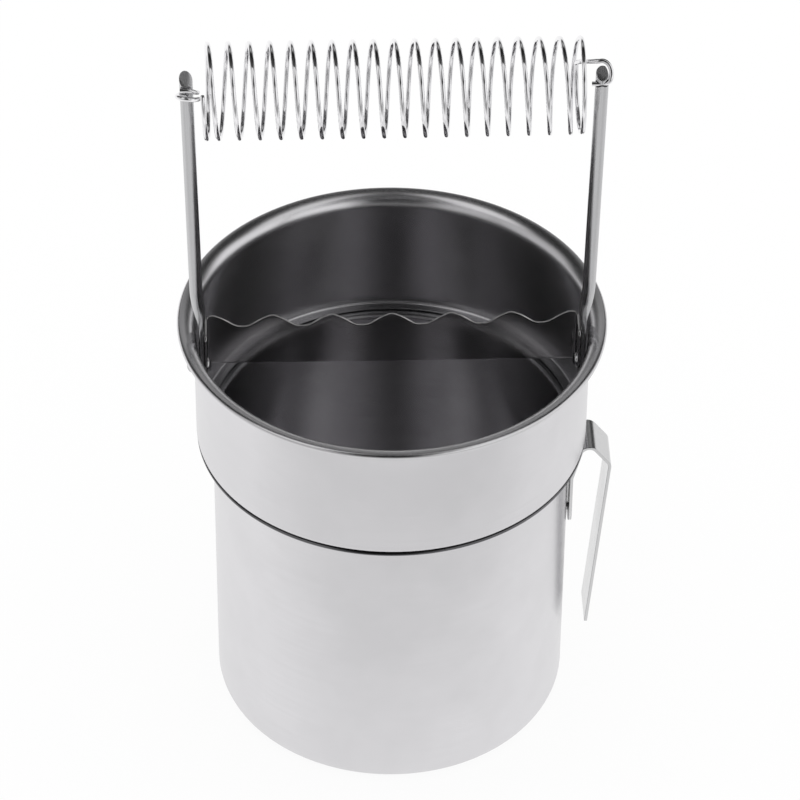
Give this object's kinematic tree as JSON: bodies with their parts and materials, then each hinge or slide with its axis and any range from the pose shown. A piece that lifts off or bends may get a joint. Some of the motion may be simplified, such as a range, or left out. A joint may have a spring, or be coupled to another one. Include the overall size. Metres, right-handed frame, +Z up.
{
  "type": "brush washer",
  "caption": "Round stepped steel cup for rinsing brushes, with a wave-edged brush rest, two posts, a long open coil spring that holds hanging brushes, and a clip.",
  "frame": {"origin": "centre of the cup's flat underside", "axes": "+Z up along the cup's axis, +X towards the clip along the spring and the strip, -Y towards the side that the posts and the cut post tips face"},
  "size_m": [0.0962, 0.094, 0.1779],
  "materials": {
    "vessel_steel": "satin outside with a fine turned grain, bright polished inside",
    "strip_steel": "mirror polished sheet",
    "rod_steel": "drawn rod with a fine lengthwise grain, sawn dull tip",
    "rivet_steel": "bright domed head",
    "spring_wire": "bright hard drawn wire",
    "clip_steel": "bright strip with rounded edges"
  },
  "bodies": {
    "vessel": {"cup": "vessel_steel", "collar": "vessel_steel", "wave_strip": "strip_steel", "post_left": "rod_steel", "post_right": "rod_steel", "post_rivet_left": "rivet_steel", "post_rivet_right": "rivet_steel", "clip_hook": "clip_steel", "clip_rivet": "rivet_steel"},
    "spring": {"brush_spring": "spring_wire"}
  },
  "joints": [
    {"name": "spring_rock", "type": "hinge", "parent": "vessel", "child": "spring", "pos_m": [-0.0431, -0.003, 0.1672], "axis": [0.9993, 0, 0.037], "range_deg": [-5, 5]}
  ]
}
